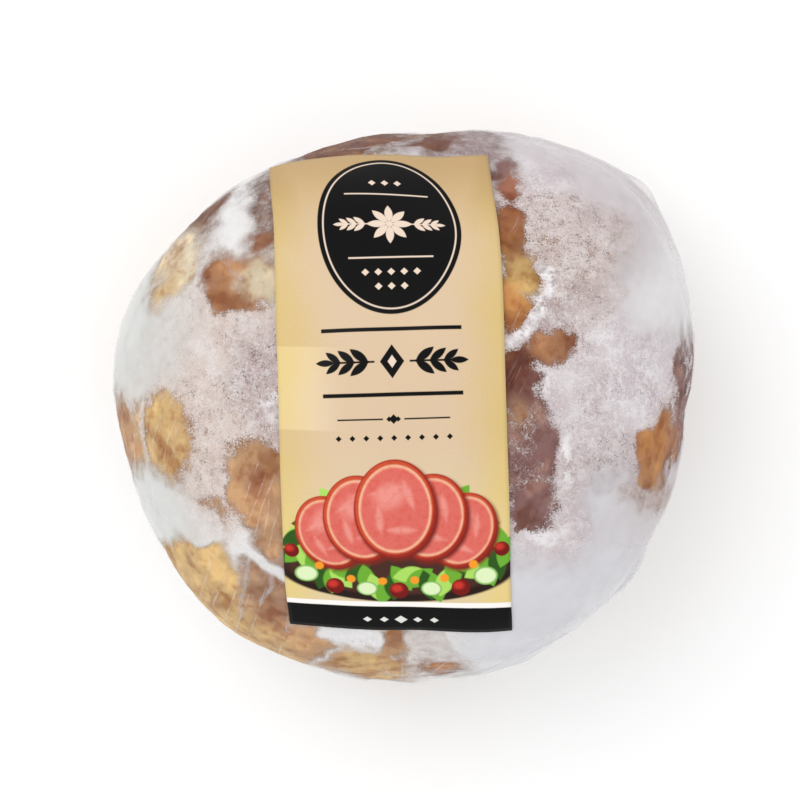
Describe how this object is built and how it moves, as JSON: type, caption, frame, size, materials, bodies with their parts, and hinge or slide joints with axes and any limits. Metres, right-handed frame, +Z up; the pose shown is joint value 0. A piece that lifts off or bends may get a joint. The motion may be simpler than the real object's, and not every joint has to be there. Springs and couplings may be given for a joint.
{
  "type": "frozen ham pack",
  "caption": "Rounded boneless ham, frosted and vacuum packed in clear film, lying on its flat underside with a curved paper label over its crown.",
  "frame": {"origin": "middle of the pack's bounding box at the level of its flat underside", "axes": "+Z up through the labelled crown, +Y towards the label's top edge, +X towards the label's right edge"},
  "size_m": [0.156, 0.1482, 0.1062],
  "materials": {
    "frosted_film": "clear film over white frost, with brown and golden meat showing through in patches",
    "label_paper": "coated paper, cream to gold, with black fields"
  },
  "bodies": {
    "root": {"pack": "frosted_film", "label": "label_paper"}
  },
  "joints": []
}
